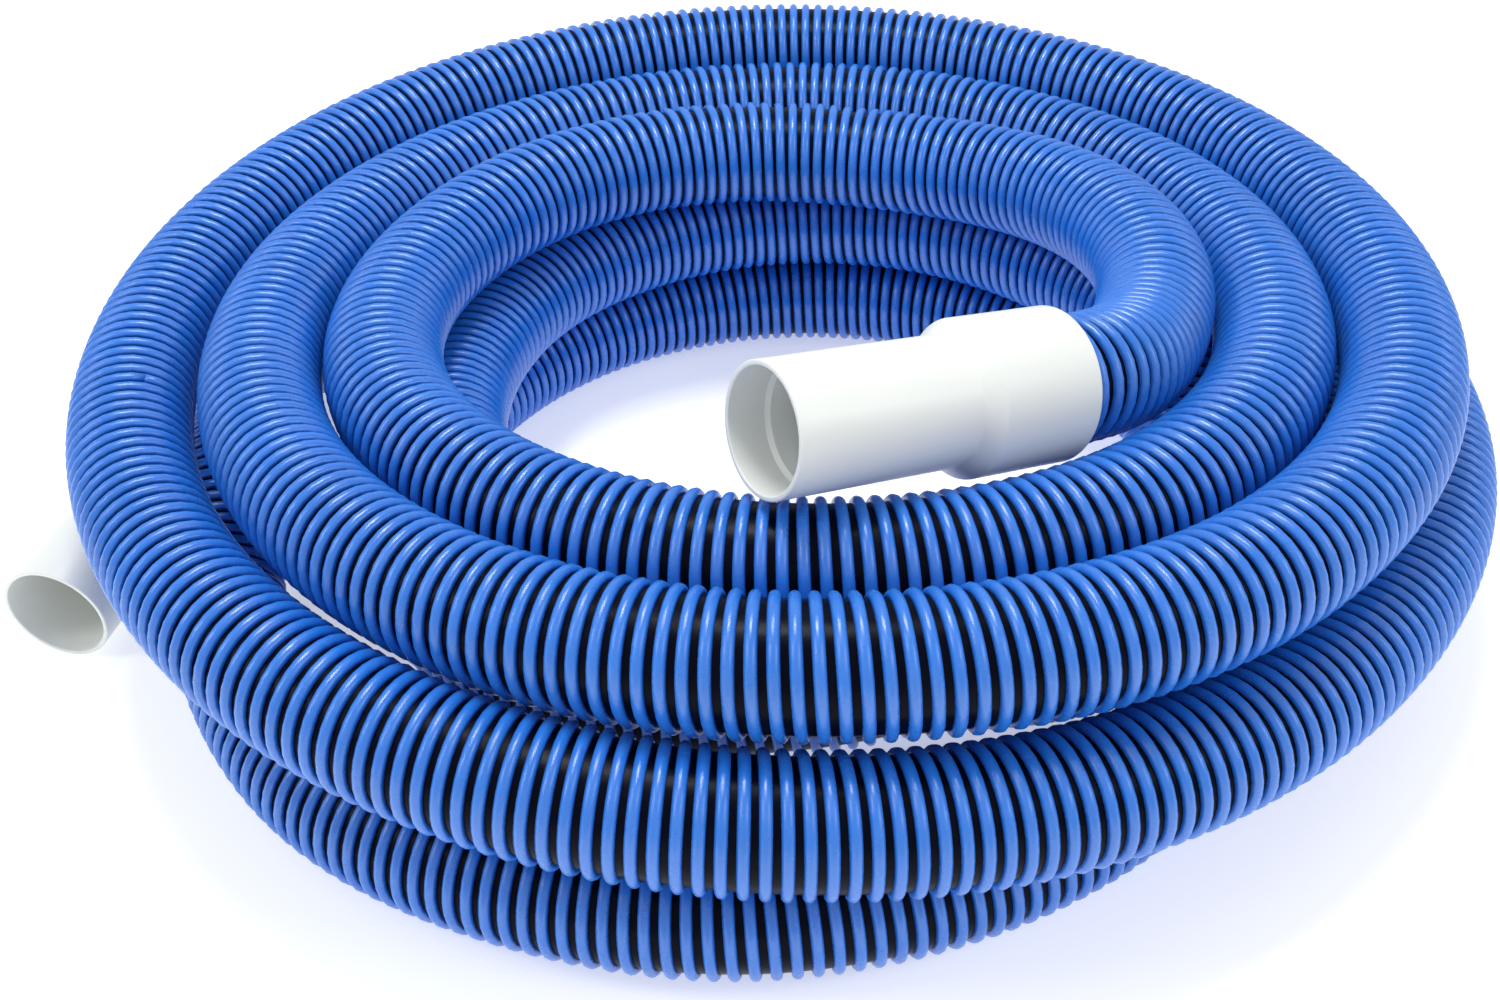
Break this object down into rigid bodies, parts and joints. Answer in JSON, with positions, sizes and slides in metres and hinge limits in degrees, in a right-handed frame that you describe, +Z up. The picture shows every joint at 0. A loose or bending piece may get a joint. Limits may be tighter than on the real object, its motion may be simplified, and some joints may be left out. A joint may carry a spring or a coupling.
{
  "type": "pool vacuum hose",
  "caption": "Coiled spiral-wound pool vacuum hose, blue bead on a black wall, with a white swivel cuff on one end and a white fixed cuff on the other.",
  "frame": {"origin": "floor under the middle of the coiled hose's footprint", "axes": "+Z up from the floor, +X to the right as seen from the side the two cuffs point to, -Y towards that side"},
  "size_m": [0.6012, 0.5498, 0.1868],
  "materials": {
    "hose": "glossy",
    "cuff": "satin",
    "ferrule": "satin",
    "rubber": "matte"
  },
  "bodies": {
    "root": {"hose_lead": "hose", "hose_turn_1": "hose", "hose_turn_2": "hose", "hose_turn_3": "hose", "hose_turn_4": "hose", "hose_turn_5": "hose", "hose_turn_6": "hose", "hose_tail": "hose", "hose_ferrule": "ferrule", "swivel_o_ring": "rubber", "fixed_cuff": "cuff"},
    "swivel": {"swivel_cuff": "cuff", "retaining_ring": "ferrule"}
  },
  "joints": [
    {"name": "cuff_swivel", "type": "hinge", "parent": "root", "child": "swivel", "pos_m": [0.10464, -0.11325, 0.14238], "axis": [-0.8391, -0.5082, 0.1942], "continuous": true}
  ]
}
